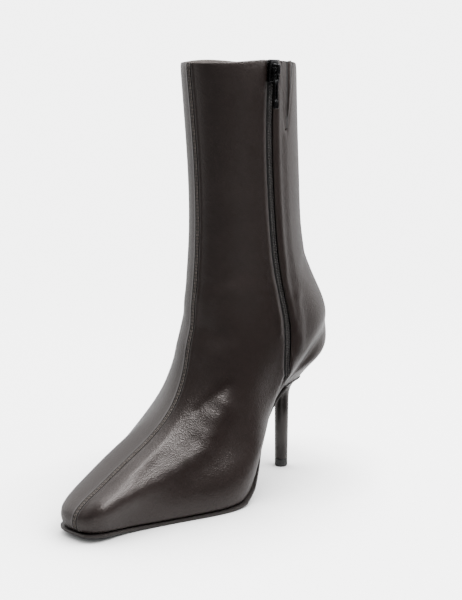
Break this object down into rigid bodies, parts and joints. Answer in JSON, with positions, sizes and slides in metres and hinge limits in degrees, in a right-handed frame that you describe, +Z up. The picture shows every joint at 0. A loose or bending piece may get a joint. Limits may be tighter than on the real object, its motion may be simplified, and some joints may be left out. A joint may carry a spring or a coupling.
{
  "type": "stiletto ankle bootie",
  "caption": "Dark leather ankle bootie for the right foot, with a slim stiletto heel, soft square toe, raised centre seam, inner side zip and an elastic V at the collar.",
  "frame": {"origin": "on the floor, under the middle of the boot's bounding box", "axes": "+Z up; the toe points along +X; the inner side, with the zip, lies on +Y"},
  "size_m": [0.2538, 0.0914, 0.3094],
  "materials": {
    "upper_leather": "smooth, soft sheen, fine grain",
    "insole_lining": "matt lining leather",
    "sole_edge": "dark, edge lightly polished",
    "heel_cover": "covered heel, satin",
    "heel_rubber": "matt",
    "zip_tape_cloth": "woven, matt",
    "zip_coil_nylon": "satin",
    "black_metal": "black, satin",
    "gore_elastic": "ribbed elastic, matt"
  },
  "bodies": {
    "boot": {"upper": "upper_leather", "insole": "insole_lining", "outsole": "sole_edge", "heel": "heel_cover", "heel_tip": "heel_rubber", "zip_tape": "zip_tape_cloth", "zip_coil": "zip_coil_nylon", "zip_slider": "black_metal", "gore": "gore_elastic"},
    "pull": {"zip_pull": "black_metal"}
  },
  "joints": [
    {"name": "pull_swing", "type": "hinge", "parent": "boot", "child": "pull", "pos_m": [-0.0316, 0.03982, 0.30219], "axis": [0.9995, -0.0303, 0.0077], "range_deg": [0, 170]}
  ]
}
